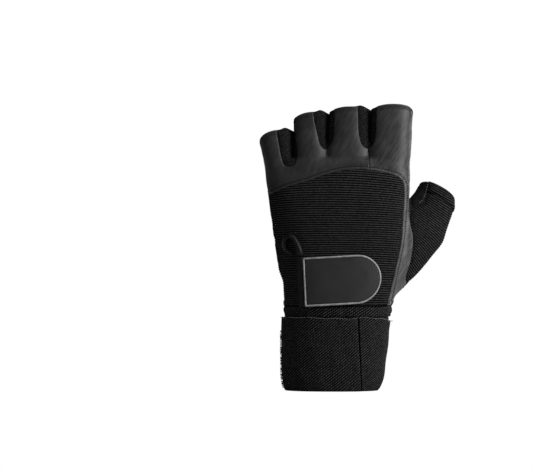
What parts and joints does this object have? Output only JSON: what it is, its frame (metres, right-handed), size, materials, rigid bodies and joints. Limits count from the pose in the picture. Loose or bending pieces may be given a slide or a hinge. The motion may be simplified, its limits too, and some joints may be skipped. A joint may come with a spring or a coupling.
{
  "type": "weightlifting glove",
  "caption": "Half-finger left-hand glove with a ribbed back, suede palm, closing tab and a wound wrist wrap, standing on its cuff.",
  "frame": {"origin": "middle of the bottom of the glove's box, on the surface that it stands on", "axes": "+Z from the wrist to the fingertips, -Y faces the back of the hand, +X points to the thumb side"},
  "size_m": [0.1396, 0.0552, 0.2059],
  "materials": {
    "leather": "soft black leather with a fine grain and a low sheen",
    "strip_leather": "black leather, a little worn and lighter along its folds",
    "suede": "matt black suede with a mottled nap",
    "rib_fabric": "black ribbed stretch fabric",
    "knit_mesh": "fine black knitted mesh",
    "webbing": "black woven elastic webbing",
    "tab_face": "smooth dark coated fabric",
    "piping": "mid grey woven piping"
  },
  "bodies": {
    "root": {"knuckle_leather": "leather", "thumb_leather": "leather", "heel_leather": "leather", "little_tip_band": "leather", "ring_tip_band": "leather", "middle_tip_band": "leather", "index_tip_band": "leather", "cuff_band": "leather", "index_leather": "strip_leather", "palm_suede_upper": "suede", "palm_suede_lower": "suede", "web_suede": "suede", "back_panel": "rib_fabric", "thumb_back": "rib_fabric", "waistband": "rib_fabric", "fourchette_little": "knit_mesh", "fourchette_ring": "knit_mesh", "fourchette_middle": "knit_mesh", "wrist_wrap": "webbing", "tab_anchor": "webbing", "pull_loop": "webbing", "strap_tab": "tab_face", "tab_hook_patch": "tab_face", "tab_piping": "piping"}
  },
  "joints": []
}
